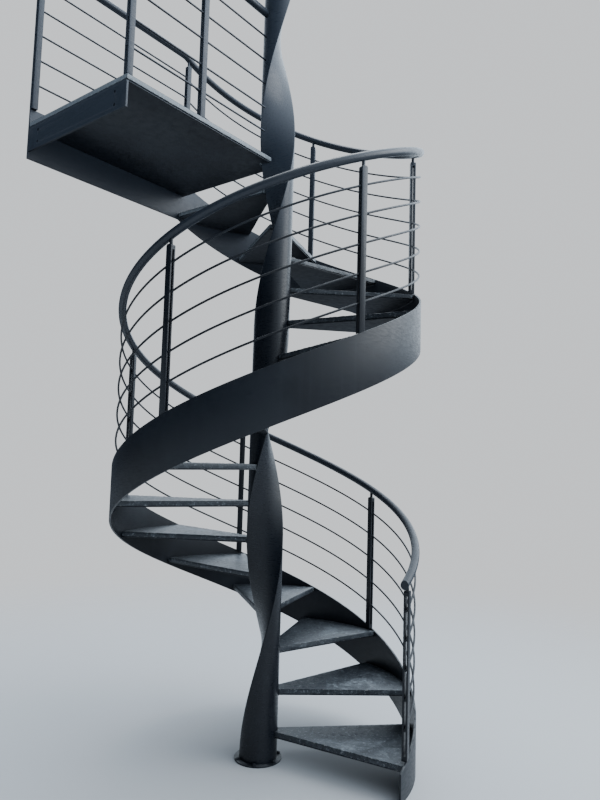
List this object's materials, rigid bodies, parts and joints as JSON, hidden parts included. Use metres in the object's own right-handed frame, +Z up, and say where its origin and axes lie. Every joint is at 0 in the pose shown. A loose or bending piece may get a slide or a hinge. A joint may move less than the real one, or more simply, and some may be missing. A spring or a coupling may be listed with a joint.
{
  "type": "spiral staircase",
  "caption": "Outdoor spiral staircase of painted steel and stone: treads climb round a twisted column inside a helical stringer and rod guard, up to a landing tied to a building.",
  "frame": {"origin": "on the column's axis, on the underside of the base flange, at floor level", "axes": "+Z up along the column, the landing's building side faces -X, the stair climbs anticlockwise"},
  "size_m": [1.7928, 1.5856, 4.231],
  "materials": {
    "paint": "dark charcoal paint, satin, dusty and scuffed",
    "rail_paint": "dark charcoal paint, worn smoother by hands",
    "stone": "dark speckled stone, honed, chipped and dusty"
  },
  "bodies": {
    "root": {"base_flange": "paint", "twisted_column": "paint", "column_cap": "paint", "tread_slab_01": "stone", "tread_slab_02": "stone", "tread_slab_03": "stone", "tread_slab_04": "stone", "tread_slab_05": "stone", "tread_slab_06": "stone", "tread_slab_07": "stone", "tread_slab_08": "stone", "tread_slab_09": "stone", "tread_slab_10": "stone", "tread_slab_11": "stone", "tread_slab_12": "stone", "tread_slab_13": "stone", "tread_slab_14": "stone", "tread_slab_15": "stone", "tread_slab_16": "stone", "lower_tread_trays": "paint", "upper_tread_trays": "paint", "stringer_1": "paint", "stringer_2": "paint", "stringer_3": "paint", "stringer_4": "paint", "handrail_1": "rail_paint", "handrail_2": "rail_paint", "handrail_3": "rail_paint", "handrail_4": "rail_paint", "guard_rods_1": "paint", "guard_rods_2": "paint", "guard_rods_3": "paint", "guard_rods_4": "paint", "post_1": "paint", "post_2": "paint", "post_3": "paint", "post_4": "paint", "post_5": "paint", "post_6": "paint", "post_7": "paint", "post_8": "paint", "post_9": "paint", "landing_slab": "stone", "landing_frame": "paint", "landing_bracket": "paint", "landing_stringer": "paint", "landing_handrail": "rail_paint", "landing_rods": "paint", "landing_post": "paint", "front_guard_rail": "rail_paint", "front_guard_rods": "paint", "front_guard_post_1": "paint", "front_guard_post_2": "paint"}
  },
  "joints": []
}
